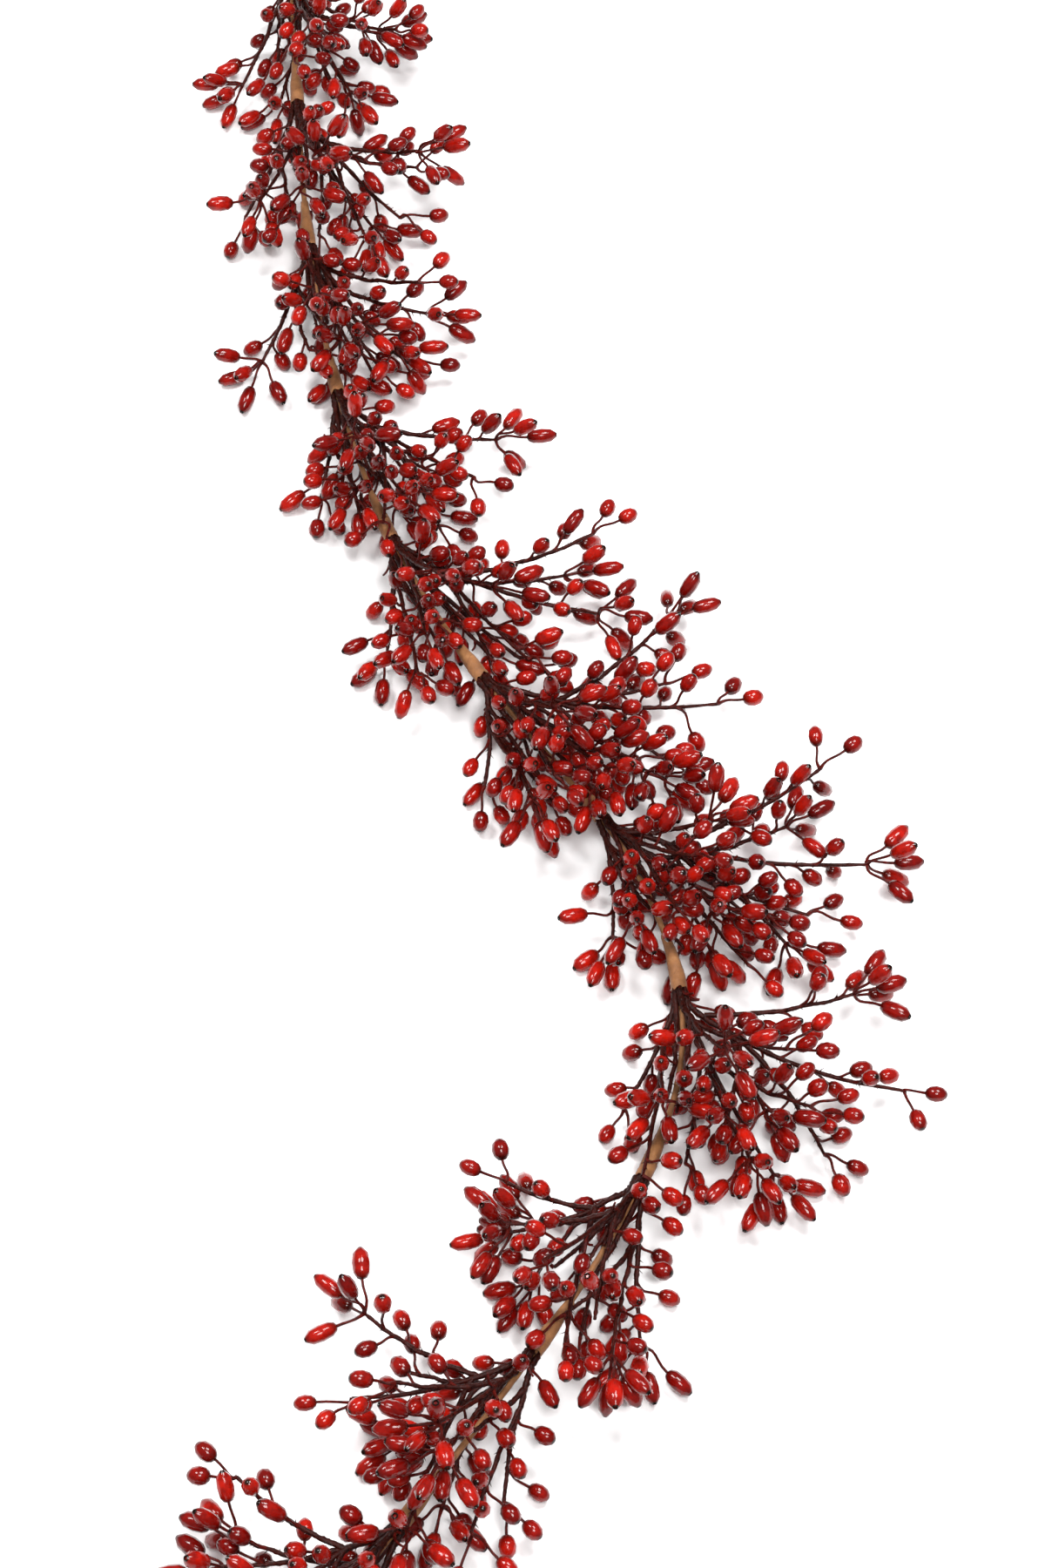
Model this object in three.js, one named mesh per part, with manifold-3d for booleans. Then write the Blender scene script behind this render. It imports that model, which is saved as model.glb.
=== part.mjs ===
// A garland of rose hip sprigs lying on a flat surface: a paper-wrapped wire, with branched
// twigs of hips bound to it by tapering paper sleeves. Millimetres, +Z up. The wire runs from
// its upper end at +Y to its lower end at -Y, and every twig points to the lower end.

import * as THREE from 'three';
import { mergeVertices } from 'three/addons/utils/BufferGeometryUtils.js';
import Module from 'manifold-3d';

const wasm = await Module();
wasm.setup();

// ---- The wire ----

const WIRE_RADIUS = 1.8;
const WIRE_ARC_SEGMENTS = 3;
const WIRE_HEIGHT = 26;
const WIRE_WAVE = 4;
const WIRE_WAVE_LENGTH = 560;
const WIRE_STEP = 5;
const WIRE_TUBE_STEP = 20;
// Heading of the wire at equal distances along it, in degrees from -Y towards +X.
const WIRE_BENDS = [3, 4, 5, 11, 18, 30, 38, 17, -21, -33, -36, -37];
const BEND_SPACING = 120;
const WIRE_LENGTH = BEND_SPACING * (WIRE_BENDS.length - 1);

// ---- The joints, where sprigs are bound on ----

const FIRST_JOINT = 55;
const JOINT_SPACING = 117;
// Which side of the wire the two longer sprigs take (1 is +X), the reach of each side, and how
// widely the joint's sprigs turn away from the wire.
const JOINTS = [
  { lean: 1, long: 100, short: 75, spread: 0.6 },
  { lean: 1, long: 105, short: 70, spread: 0.8 },
  { lean: 1, long: 100, short: 75, spread: 0.7 },
  { lean: 1, long: 95, short: 60, spread: 0.8 },
  { lean: 1, long: 125, short: 60, spread: 1.0 },
  { lean: 1, long: 140, short: 60, spread: 1.15 },
  { lean: 1, long: 135, short: 60, spread: 1.2 },
  { lean: 1, long: 125, short: 65, spread: 1.25 },
  { lean: -1, long: 65, short: 80, spread: 0.9 },
  { lean: -1, long: 85, short: 65, spread: 0.95 },
  { lean: -1, long: 80, short: 60, spread: 0.8 },
];

// ---- The paper sleeves ----

const SLEEVE_WALL = 0.4;
const SLEEVE_SIDES = 10;
const SLEEVE_MOUTH = 4.5;
const SLEEVE_NECK = 2.5;
const SLEEVE_STRAIGHT = 16;
const SLEEVE_LENGTH = 36;

// ---- The sprigs ----

const BOUND_RING = 3.0;
const BOUND_RADIUS = 0.9;
const BOUND_LENGTH = 13;
const RUN_ON = 9;
const RUN_ON_SPREAD = 1.45;
const LIMB_RADIUS = 1.5;
const TIP_RADIUS = 0.8;
const LIMB_SIDES = 3;
const LIMB_STEPS = 4;
const MOST_LIMBS = 10;
// Turn from the wire's heading, place around the wire, share of the reach, height of the tip.
const ROLES = [
  { turn: 44, roll: 10, reach: 'long', share: 1, tip: 26, forks: 2 },
  { turn: 22, roll: -62, reach: 'long', share: 0.85, tip: 11, forks: 1 },
  { turn: -28, roll: 180, reach: 'short', share: 1, tip: 12, forks: 1 },
  { turn: 8, roll: 92, reach: 'short', share: 0.9, tip: 66, forks: 1 },
];
const TURN_SPREAD = 9;
const TURN_WIDENS = 3;
const TIP_SPREAD = 4;
const TIP_LIFTS = 2;
const REACH_DRAW = [0.9, 1.08];
const FLOOR_GAP = 1;
const BOW = 0.5;
const EARLY_TURN = 0.7;
const EARLY_SAG = 0.3;

// ---- The forks of a sprig ----

const FORK_START = [0.38, 0.56];
const FORK_TURN = 34;
const FORK_TURN_SPREAD = 8;
const FORK_SHARE = 0.62;
const FORK_EXTRA = 22;
const FORK_REACH_DRAW = [0.85, 1.1];
const FORK_LIFT = 8;
const FORK_SHOOT_START = 0.4;

// ---- The hips ----

const OVAL = { length: 13, radius: 4.5 };
const LONG = { length: 18, radius: 4.6 };
const HIP_SIDES = 3;
const HIP_WIDEST = 0.5;
const STALK_RADIUS = 0.65;
const SHOOT_SPACING = 40;
const SHOOT_START = 0.16;
const SHOOT_LEAN = 60;
const SHOOT_LEAN_SPREAD = 8;
const SHOOT_STALK = [9, 15];
const GOLDEN_TURN = 137.5;
const ROLL_SPREAD = 20;
const UMBEL_COUNT = 5;
const SPRAY_COUNT = 2;
const UMBEL_STALK = [11, 19];
const UMBEL_ROLL_SPREAD = 12;
const MIDDLE_LEAN = [0, 12];
const OUTER_LEAN = [34, 66];
const HIP_CORE = 0.8;

// ---- Clearance and draws ----

const GAP = 0.5;
const TRIES = 9;
const FIRST_SEED = 2027;
const SEED_STEP = 16807;
const SEED_MODULUS = 2147483647;
const SMALL = 1e-9;
const LAST = 1e-6;
const MERGE_DISTANCE = 1e-4;

let seed = FIRST_SEED;

function draw(low, high) {
  seed = (seed * SEED_STEP) % SEED_MODULUS;
  return low + (high - low) * (seed / SEED_MODULUS);
}

function drawFrom([low, high]) {
  return draw(low, high);
}

function radians(degrees) {
  return (degrees * Math.PI) / 180;
}

// ---- The wire's route ----

function heading(s) {
  const at = Math.min(Math.max(s / BEND_SPACING, 0), WIRE_BENDS.length - 1 - LAST);
  const i = Math.floor(at);
  return radians(WIRE_BENDS[i] + (WIRE_BENDS[i + 1] - WIRE_BENDS[i]) * (at - i));
}

function wireRoute() {
  const route = [new THREE.Vector3(0, 0, 0)];
  for (let s = 0; s < WIRE_LENGTH; s += WIRE_STEP) {
    const h = heading(s + WIRE_STEP / 2);
    const last = route[route.length - 1];
    const step = new THREE.Vector3(Math.sin(h), -Math.cos(h), 0).multiplyScalar(WIRE_STEP);
    route.push(step.add(last));
  }
  route.forEach((p, i) => {
    p.z = WIRE_HEIGHT + WIRE_WAVE * Math.sin((2 * Math.PI * i * WIRE_STEP) / WIRE_WAVE_LENGTH);
  });
  return route;
}

const ROUTE = wireRoute();

// The point at distance s along the wire, moved across it to +X by side and up by rise.
function besideWire(s, side, rise) {
  const at = Math.min(Math.max(s / WIRE_STEP, 0), ROUTE.length - 1 - LAST);
  const i = Math.floor(at);
  const h = heading(s);
  const p = ROUTE[i].clone().lerp(ROUTE[i + 1], at - i);
  return new THREE.Vector3(p.x + side * Math.cos(h), p.y + side * Math.sin(h), p.z + rise);
}

// ---- Clearance: everything placed is kept as a list of capsules ----

const capsules = [];

function clamp01(x) {
  return Math.min(Math.max(x, 0), 1);
}

function segmentDistance(a, b, c, d) {
  const ab = b.clone().sub(a);
  const cd = d.clone().sub(c);
  const ca = a.clone().sub(c);
  const along = ab.dot(ab);
  const across = cd.dot(cd);
  const mixed = ab.dot(cd);
  const onFirst = ab.dot(ca);
  const onSecond = cd.dot(ca);
  const spread = along * across - mixed * mixed;
  let s = spread > SMALL ? clamp01((mixed * onSecond - onFirst * across) / spread) : 0;
  let t = (mixed * s + onSecond) / across;
  if (t < 0) {
    t = 0;
    s = clamp01(-onFirst / along);
  } else if (t > 1) {
    t = 1;
    s = clamp01((mixed - onFirst) / along);
  }
  return a.clone().addScaledVector(ab, s).distanceTo(c.clone().addScaledVector(cd, t));
}

function isClear(a, b, radius, ignores) {
  return capsules.every((other) => {
    const room = radius + other.radius + GAP;
    return ignores(other) || segmentDistance(a, b, other.a, other.b) > room;
  });
}

function keep(points, radius, tags) {
  for (let i = 1; i < points.length; i += 1) {
    capsules.push({ a: points[i - 1], b: points[i], radius, ...tags });
  }
}

// ---- Limbs ----

function bezier(a, b, c, steps) {
  const points = [];
  for (let i = 1; i <= steps; i += 1) {
    const t = i / steps;
    const p = a.clone().multiplyScalar((1 - t) * (1 - t));
    points.push(p.addScaledVector(b, 2 * t * (1 - t)).addScaledVector(c, t * t));
  }
  return points;
}

function reachOut(from, direction, turn, reach, tipHeight) {
  const early = direction + turn * EARLY_TURN;
  const late = direction + turn;
  const bend = new THREE.Vector3(Math.sin(early), -Math.cos(early), 0);
  bend.multiplyScalar(reach * BOW).add(from);
  bend.z = from.z + (tipHeight - from.z) * EARLY_SAG;
  const tip = new THREE.Vector3(Math.sin(late), -Math.cos(late), 0);
  tip.multiplyScalar(reach).add(from);
  tip.z = tipHeight;
  return bezier(from, bend, tip, LIMB_STEPS);
}

function pathIsClear(points, ignores) {
  return points.slice(1).every((p, i) => isClear(points[i], p, LIMB_RADIUS, ignores));
}

function growLeader(joint, role, row) {
  const { lean, spread } = row;
  const s = jointAt(joint);
  const reach = row[role.reach] * role.share;
  const roll = radians(role.roll);
  const side = BOUND_RING * Math.cos(roll) * lean;
  const rise = BOUND_RING * Math.sin(roll);
  const bound = [besideWire(s - BOUND_LENGTH, side, rise), besideWire(s, side, rise)];
  const from = besideWire(s + RUN_ON, side * RUN_ON_SPREAD, rise * RUN_ON_SPREAD);
  const ignores = (other) => other.joint === joint;
  for (let k = 0; k < TRIES; k += 1) {
    const stray = draw(-1, 1) * (TURN_SPREAD + TURN_WIDENS * k);
    const turn = radians(role.turn * spread + stray) * lean;
    const height = role.tip + draw(-TIP_SPREAD, TIP_SPREAD) + TIP_LIFTS * k;
    const tip = Math.max(height, LIMB_RADIUS + FLOOR_GAP);
    const free = reachOut(from, heading(s), turn, reach * drawFrom(REACH_DRAW), tip);
    if (pathIsClear([from, ...free], ignores)) {
      return [...bound, from, ...free];
    }
  }
  return null;
}

function growFork(sprig, leader, sign, tipLift) {
  const start = pathPoint(leader, drawFrom(FORK_START)).point;
  const tip = leader[leader.length - 1];
  const direction = Math.atan2(tip.x - start.x, -(tip.y - start.y));
  const reach = start.distanceTo(tip) * FORK_SHARE + FORK_EXTRA;
  const ignores = (other) => other.sprig === sprig;
  for (let k = 0; k < TRIES; k += 1) {
    const turn = radians(sign * (FORK_TURN + draw(-FORK_TURN_SPREAD, FORK_TURN_SPREAD)));
    const lifted = start.z + tipLift + draw(-FORK_LIFT, FORK_LIFT);
    const height = Math.max(lifted, LIMB_RADIUS + FLOOR_GAP);
    const free = reachOut(start, direction, turn, reach * drawFrom(FORK_REACH_DRAW), height);
    const path = [start, ...free];
    if (pathIsClear(path, ignores)) {
      return path;
    }
  }
  return null;
}

// ---- Hips ----

// A hip that would reach below the surface is turned up until it lies on it.
function layHip(base, direction, hip) {
  const start = base.clone();
  start.z = Math.max(start.z, hip.radius);
  const end = start.clone().addScaledVector(direction, hip.length);
  end.z = Math.max(end.z, hip.radius);
  const way = end.sub(start).normalize();
  return { base: start, tip: start.clone().addScaledVector(way, hip.length) };
}

function placeHip(sprig, limb, from, direction, stalk, kind) {
  const hip = kind === 'long' ? LONG : OVAL;
  const { base, tip } = layHip(from.clone().addScaledVector(direction, stalk), direction, hip);
  const way = tip.clone().sub(base).normalize();
  const coreStart = base.clone().addScaledVector(way, hip.radius * HIP_CORE);
  const coreEnd = tip.clone().addScaledVector(way, -hip.radius * HIP_CORE);
  const ownStalks = (other) => other.limb === limb && !other.isHip;
  if (!isClear(from, base, STALK_RADIUS, ownStalks)) {
    return null;
  }
  if (!isClear(coreStart, coreEnd, hip.radius, () => false)) {
    return null;
  }
  capsules.push({ a: from, b: base, radius: STALK_RADIUS, sprig, limb, isHip: false });
  capsules.push({ a: coreStart, b: coreEnd, radius: hip.radius, sprig, limb, isHip: true });
  return { kind, from, base, tip };
}

// A direction leaning from the axis, at a roll around it.
function leaning(axis, lean, roll) {
  const across = new THREE.Vector3(-axis.y, axis.x, 0).normalize();
  const over = across.clone().cross(axis);
  return axis
    .clone()
    .multiplyScalar(Math.cos(lean))
    .addScaledVector(across, Math.sin(lean) * Math.cos(roll))
    .addScaledVector(over, Math.sin(lean) * Math.sin(roll));
}

function pathPoint(points, u) {
  const at = Math.min(u * (points.length - 1), points.length - 1 - LAST);
  const i = Math.floor(at);
  const axis = points[i + 1].clone().sub(points[i]).normalize();
  return { point: points[i].clone().lerp(points[i + 1], at - i), axis };
}

function pathLength(points) {
  return points.slice(1).reduce((sum, p, i) => sum + p.distanceTo(points[i]), 0);
}

function addShoots(sprig, limb, points, start, hips) {
  const count = Math.floor((pathLength(points) * (1 - start)) / SHOOT_SPACING);
  for (let i = 0; i < count; i += 1) {
    const { point, axis } = pathPoint(points, start + ((1 - start) * (i + 0.5)) / count);
    const stalk = drawFrom(SHOOT_STALK);
    const lean = radians(SHOOT_LEAN + draw(-SHOOT_LEAN_SPREAD, SHOOT_LEAN_SPREAD));
    for (let k = 0; k < TRIES; k += 1) {
      const roll = radians(GOLDEN_TURN * (i + k) + draw(-ROLL_SPREAD, ROLL_SPREAD));
      const hip = placeHip(sprig, limb, point, leaning(axis, lean, roll), stalk, 'oval');
      if (hip) {
        hips.push(hip);
        break;
      }
    }
  }
}

function addUmbel(sprig, limb, points, kind, count, hips) {
  const { point, axis } = pathPoint(points, 1);
  for (let i = 0; i < count; i += 1) {
    const stalk = drawFrom(UMBEL_STALK);
    for (let k = 0; k < TRIES; k += 1) {
      const lean = radians(drawFrom(i === 0 ? MIDDLE_LEAN : OUTER_LEAN));
      const around = (360 * (i + 0.5 * k)) / Math.max(count - 1, 1);
      const roll = radians(around + draw(-UMBEL_ROLL_SPREAD, UMBEL_ROLL_SPREAD));
      const hip = placeHip(sprig, limb, point, leaning(axis, lean, roll), stalk, kind);
      if (hip) {
        hips.push(hip);
        break;
      }
    }
  }
}

// ---- The whole plan ----

function limbId(sprig, limb) {
  return sprig * MOST_LIMBS + limb;
}

function jointAt(j) {
  return FIRST_JOINT + JOINT_SPACING * j;
}

function planSprig(joint, role, row, sprig) {
  const leader = growLeader(joint, role, row);
  if (!leader) {
    return null;
  }
  const limbs = [{ points: leader, start: SHOOT_START, bound: true }];
  keep(leader.slice(0, 2), BOUND_RADIUS, { joint, sprig, limb: limbId(sprig, 0), isHip: false });
  keep(leader.slice(1), LIMB_RADIUS, { joint, sprig, limb: limbId(sprig, 0), isHip: false });
  for (let f = 0; f < role.forks; f += 1) {
    const way = f % 2 === 0 ? 1 : -1;
    const fork = growFork(sprig, leader, way * row.lean, way * FORK_LIFT);
    if (fork) {
      keep(fork, LIMB_RADIUS, { sprig, limb: limbId(sprig, limbs.length), isHip: false });
      limbs.push({ points: fork, start: FORK_SHOOT_START, bound: false });
    }
  }
  return { limbs, hips: [] };
}

function growSprigs() {
  const sprigs = [];
  JOINTS.forEach((row, j) => {
    ROLES.forEach((role) => {
      const sprig = planSprig(j, role, row, sprigs.length);
      if (sprig) {
        sprigs.push(sprig);
      }
    });
  });
  return sprigs;
}

function dressLimb(n, i, limb, hips) {
  const umbel = (Math.floor(n / ROLES.length) + n + i) % 2 === 0;
  const count = umbel ? UMBEL_COUNT : SPRAY_COUNT;
  addUmbel(n, limbId(n, i), limb.points, umbel ? 'long' : 'oval', count, hips);
  addShoots(n, limbId(n, i), limb.points, limb.start, hips);
}

function plan() {
  keep(ROUTE, WIRE_RADIUS, {});
  JOINTS.forEach((row, j) => {
    const along = [SLEEVE_LENGTH, SLEEVE_LENGTH / 2, 0];
    const axis = along.map((back) => besideWire(jointAt(j) - back, 0, 0));
    keep(axis, SLEEVE_MOUTH + SLEEVE_WALL, { joint: j });
  });
  const sprigs = growSprigs();
  sprigs.forEach((sprig, n) => sprig.limbs.forEach((limb, i) => dressLimb(n, i, limb, sprig.hips)));
  return sprigs;
}

// ---- Solids ----

function toSolid(geometry) {
  geometry.deleteAttribute('normal');
  geometry.deleteAttribute('uv');
  const merged = mergeVertices(geometry, MERGE_DISTANCE);
  return new wasm.Manifold(
    new wasm.Mesh({
      numProp: 3,
      vertProperties: new Float32Array(merged.attributes.position.array),
      triVerts: new Uint32Array(merged.index.array),
    }),
  );
}

function fromSolid(solid) {
  const { vertProperties, triVerts } = solid.getMesh();
  const geometry = new THREE.BufferGeometry();
  geometry.setAttribute('position', new THREE.BufferAttribute(new Float32Array(vertProperties), 3));
  geometry.setIndex(new THREE.BufferAttribute(new Uint32Array(triVerts), 1));
  geometry.computeVertexNormals();
  return geometry;
}

// A tapered tube through the points: one ring of a unit lathe goes to each of them, and a
// radius of 0 at the last point closes it to a tip.
function tube(points, radii, sides) {
  const last = points.length - 1;
  const rings = points.map((p, i) => new THREE.Vector2(radii[i] > 0 ? 1 : 0, i));
  const profile = [new THREE.Vector2(0, 0), ...rings];
  if (radii[last] > 0) {
    profile.push(new THREE.Vector2(0, last));
  }
  const geometry = new THREE.LatheGeometry(profile, sides);
  const position = geometry.attributes.position;
  for (let i = 0; i < position.count; i += 1) {
    const ring = Math.round(position.getY(i));
    const before = points[Math.max(ring - 1, 0)];
    const after = points[Math.min(ring + 1, last)];
    const axis = after.clone().sub(before).normalize();
    const across = new THREE.Vector3(-axis.y, axis.x, 0).normalize();
    const over = axis.clone().cross(across);
    const p = points[ring]
      .clone()
      .addScaledVector(across, position.getX(i) * radii[ring])
      .addScaledVector(over, -position.getZ(i) * radii[ring]);
    position.setXYZ(i, p.x, p.y, p.z);
  }
  return toSolid(geometry);
}

// A stalk and its hip in one: the stalk runs from the limb's axis into the hip's base.
function hipSolid({ kind, from, base, tip }) {
  const { radius } = kind === 'long' ? LONG : OVAL;
  const widest = base.clone().lerp(tip, HIP_WIDEST);
  return tube([from, base, widest, tip], [STALK_RADIUS, STALK_RADIUS, radius, 0], HIP_SIDES);
}

function limbRadii(limb) {
  const count = limb.points.length;
  return limb.points.map((p, i) => {
    if (limb.bound && i < 2) {
      return BOUND_RADIUS;
    }
    return LIMB_RADIUS + ((TIP_RADIUS - LIMB_RADIUS) * i) / (count - 1);
  });
}

function sprigSolid(sprig) {
  const pieces = sprig.limbs.map((limb) => tube(limb.points, limbRadii(limb), LIMB_SIDES));
  sprig.hips.forEach((hip) => pieces.push(hipSolid(hip)));
  return pieces.reduce((whole, piece) => whole.add(piece));
}

function sleeveGeometry(s) {
  const inner = [
    [SLEEVE_MOUTH, 0],
    [SLEEVE_MOUTH, -SLEEVE_STRAIGHT],
    [SLEEVE_NECK, -SLEEVE_LENGTH],
  ];
  const outer = inner.map(([r, y]) => [r + SLEEVE_WALL, y]).reverse();
  const profile = [...inner, ...outer, inner[0]].map(([r, y]) => new THREE.Vector2(r, y));
  const geometry = new THREE.LatheGeometry(profile, SLEEVE_SIDES);
  const position = geometry.attributes.position;
  for (let i = 0; i < position.count; i += 1) {
    const p = besideWire(s + position.getY(i), -position.getX(i), position.getZ(i));
    position.setXYZ(i, p.x, p.y, p.z);
  }
  return fromSolid(toSolid(geometry));
}

function wireGeometry() {
  const section = new THREE.Shape();
  section.absarc(0, 0, WIRE_RADIUS, 0, 2 * Math.PI, false);
  const every = WIRE_TUBE_STEP / WIRE_STEP;
  const route = new THREE.CatmullRomCurve3(ROUTE.filter((p, i) => i % every === 0));
  return new THREE.ExtrudeGeometry(section, {
    extrudePath: route,
    steps: Math.round(WIRE_LENGTH / WIRE_TUBE_STEP),
    curveSegments: WIRE_ARC_SEGMENTS,
  });
}

// ---- The scene graph ----

const PAPER = { color: 0xb08b57, roughness: 0.85, metalness: 0 };
const TWIG = { color: 0x7a1210, roughness: 0.3, metalness: 0 };

function addMesh(group, name, geometry, finish) {
  const mesh = new THREE.Mesh(geometry, new THREE.MeshStandardMaterial(finish));
  mesh.name = name;
  group.add(mesh);
}

function numbered(name, index) {
  return `${name}_${String(index + 1).padStart(2, '0')}`;
}

// The origin is the middle of the footprint, on the surface that the garland lies on.
function centre(group) {
  const box = new THREE.Box3().setFromObject(group);
  const middle = box.getCenter(new THREE.Vector3());
  group.children.forEach((mesh) => mesh.position.set(-middle.x, -middle.y, -box.min.z));
}

function build() {
  const group = new THREE.Group();
  addMesh(group, 'main_stem', wireGeometry(), PAPER);
  JOINTS.forEach((row, j) => {
    addMesh(group, numbered('tape_wrap', j), sleeveGeometry(jointAt(j)), PAPER);
  });
  plan().forEach((sprig, n) => {
    addMesh(group, numbered('sprig', n), fromSolid(sprigSolid(sprig)), TWIG);
  });
  centre(group);
  return group;
}

export default build();
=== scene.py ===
"""The looks of a garland of rose hip sprigs, lying on a pale floor.

A paper-wrapped wire carries eleven paper sleeves, and each sleeve binds four branched sprigs of
hips to it. The main twigs and hips of a sprig grow by the same rules, and from the same draws,
as the solids of the frame, so each piece lies where its solid does. Finer growth then fills the
room between them. Lengths are in millimetres until a mesh is made, and angles are in degrees
until they are used.
"""

import math

import bpy
import numpy as np
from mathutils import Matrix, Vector


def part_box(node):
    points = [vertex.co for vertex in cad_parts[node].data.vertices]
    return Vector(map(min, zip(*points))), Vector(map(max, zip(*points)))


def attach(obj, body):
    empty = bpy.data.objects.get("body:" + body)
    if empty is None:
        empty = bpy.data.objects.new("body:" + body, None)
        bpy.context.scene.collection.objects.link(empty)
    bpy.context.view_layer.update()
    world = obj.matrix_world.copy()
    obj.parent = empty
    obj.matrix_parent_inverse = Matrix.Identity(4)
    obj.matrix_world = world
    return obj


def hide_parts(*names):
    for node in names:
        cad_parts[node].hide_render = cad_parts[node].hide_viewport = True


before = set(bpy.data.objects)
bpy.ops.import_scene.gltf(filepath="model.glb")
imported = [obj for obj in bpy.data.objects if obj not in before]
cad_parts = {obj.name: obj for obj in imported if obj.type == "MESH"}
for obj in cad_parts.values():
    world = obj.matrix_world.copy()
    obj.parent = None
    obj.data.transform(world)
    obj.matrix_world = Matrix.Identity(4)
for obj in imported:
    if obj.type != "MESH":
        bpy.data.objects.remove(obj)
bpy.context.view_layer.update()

MM = 0.001

# ---- The wire ----

WIRE_RADIUS = 1.8
WIRE_HEIGHT = 26
WIRE_WAVE = 4
WIRE_WAVE_LENGTH = 560
WIRE_STEP = 5
# Heading of the wire at equal distances along it, from -Y towards +X.
WIRE_BENDS = [3, 4, 5, 11, 18, 30, 38, 17, -21, -33, -36, -37]
BEND_SPACING = 120
WIRE_LENGTH = BEND_SPACING * (len(WIRE_BENDS) - 1)

# ---- The joints, where sprigs are bound on ----

FIRST_JOINT = 55
JOINT_SPACING = 117
# Which side of the wire the two longer sprigs take (1 is +X), the reach of each side, how widely
# the joint's sprigs turn away from the wire, how far apart its finest shoots stand, and how many
# slender runners each of its sprigs sends along the wire.
JOINTS = [
    {"lean": 1, "long": 100, "short": 75, "spread": 0.6, "apart": 20, "runners": 1},
    {"lean": 1, "long": 105, "short": 70, "spread": 0.8, "apart": 20, "runners": 1},
    {"lean": 1, "long": 100, "short": 75, "spread": 0.7, "apart": 20, "runners": 1},
    {"lean": 1, "long": 95, "short": 60, "spread": 0.8, "apart": 17, "runners": 2},
    {"lean": 1, "long": 125, "short": 60, "spread": 1.0, "apart": 14, "runners": 2},
    {"lean": 1, "long": 140, "short": 60, "spread": 1.15, "apart": 12.5, "runners": 3},
    {"lean": 1, "long": 135, "short": 60, "spread": 1.2, "apart": 12.5, "runners": 3},
    {"lean": 1, "long": 125, "short": 65, "spread": 1.25, "apart": 13.5, "runners": 2},
    {"lean": -1, "long": 65, "short": 80, "spread": 0.9, "apart": 16, "runners": 1},
    {"lean": -1, "long": 85, "short": 65, "spread": 0.95, "apart": 17, "runners": 1},
    {"lean": -1, "long": 80, "short": 60, "spread": 0.8, "apart": 17, "runners": 1},
]

# ---- The paper sleeves ----

SLEEVE_WALL = 0.4
SLEEVE_MOUTH = 4.5
SLEEVE_NECK = 2.5
SLEEVE_STRAIGHT = 16
SLEEVE_LENGTH = 36

# ---- The sprigs ----

BOUND_RING = 3.0
BOUND_RADIUS = 0.9
BOUND_LENGTH = 13
RUN_ON = 9
RUN_ON_SPREAD = 1.45
LIMB_RADIUS = 1.5
LIMB_STEPS = 4
MOST_LIMBS = 10
# Turn from the wire's heading, place around the wire, share of the reach, height of the tip, and
# number of forks.
ROLES = [
    {"turn": 44, "roll": 10, "reach": "long", "share": 1, "tip": 26, "forks": 2},
    {"turn": 22, "roll": -62, "reach": "long", "share": 0.85, "tip": 11, "forks": 1},
    {"turn": -28, "roll": 180, "reach": "short", "share": 1, "tip": 12, "forks": 1},
    {"turn": 8, "roll": 92, "reach": "short", "share": 0.9, "tip": 66, "forks": 1},
]
TURN_SPREAD = 9
TURN_WIDENS = 3
TIP_SPREAD = 4
TIP_LIFTS = 2
REACH_DRAW = (0.9, 1.08)
FLOOR_GAP = 1
BOW = 0.5
EARLY_TURN = 0.7
EARLY_SAG = 0.3

# ---- The forks of a sprig ----

FORK_START = (0.38, 0.56)
FORK_TURN = 34
FORK_TURN_SPREAD = 8
FORK_SHARE = 0.62
FORK_EXTRA = 22
FORK_REACH_DRAW = (0.85, 1.1)
FORK_LIFT = 8
FORK_SHOOT_START = 0.4

# ---- The hips ----

OVAL = {"length": 13, "radius": 4.5}
LONG = {"length": 18, "radius": 4.6}
HIPS = {"oval": OVAL, "long": LONG}
STALK_RADIUS = 0.65
SHOOT_SPACING = 40
SHOOT_START = 0.16
SHOOT_LEAN = 60
SHOOT_LEAN_SPREAD = 8
SHOOT_STALK = (9, 15)
GOLDEN_TURN = 137.5
ROLL_SPREAD = 20
UMBEL_COUNT = 5
SPRAY_COUNT = 2
UMBEL_STALK = (11, 19)
UMBEL_ROLL_SPREAD = 12
UMBEL_RETRY_STEP = 0.5
MIDDLE_LEAN = (0, 12)
OUTER_LEAN = (34, 66)
HIP_CORE = 0.8

# ---- The finer growth, which the solids leave out ----

RUNNER_STARTS = (0.34, 0.56)
RUNNER_TURNS = (14, -12, 4)
RUNNER_WIDENS = 7
RUNNER_REACH = (50, 95)
RUNNER_LIFT = (-8, 20)
RUNNER_SHOOT_START = 0.25
FILL_START = 0.12
FILL_EARLIER = 0.5
FILL_STRAY = (0.2, 0.8)
FILL_TIP_MARGIN = 0.06
FILL_LEAN = (28, 78)
FILL_STALK = (6, 17)
FILL_LONG_SHARE = 0.24
FILL_TRIES = 14
BARE_SHARE = 0.3
# The place around the wire of the bare stem that each role lays beside it.
LAID_ROLLS = (28, -35, 152, 215)
LAID_RING = 3.9
LAID_FOOT_SHARE = 0.75
LAID_START = 26
LAID_LENGTH = (30, 48)
LAID_SHORTENS = 0.08

# ---- Clearance and draws ----

# The draws are a Park-Miller sequence, the same one that places the solids.
GAP = 0.5
TRIES = 9
FIRST_SEED = 2027
SEED_STEP = 16807
SEED_MODULUS = 2147483647
SMALL = 1e-9
LAST = 1e-6
MOST_CAPSULES = 8000
NONE = -1

seed = FIRST_SEED


def draw(low, high):
    """The next draw, between low and high."""
    global seed
    seed = seed * SEED_STEP % SEED_MODULUS
    return low + (high - low) * (seed / SEED_MODULUS)


def vector(x, y, z):
    return np.array([x, y, z], float)


def unit(v):
    return v / math.sqrt(v @ v)


# ---- The wire's route ----


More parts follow.
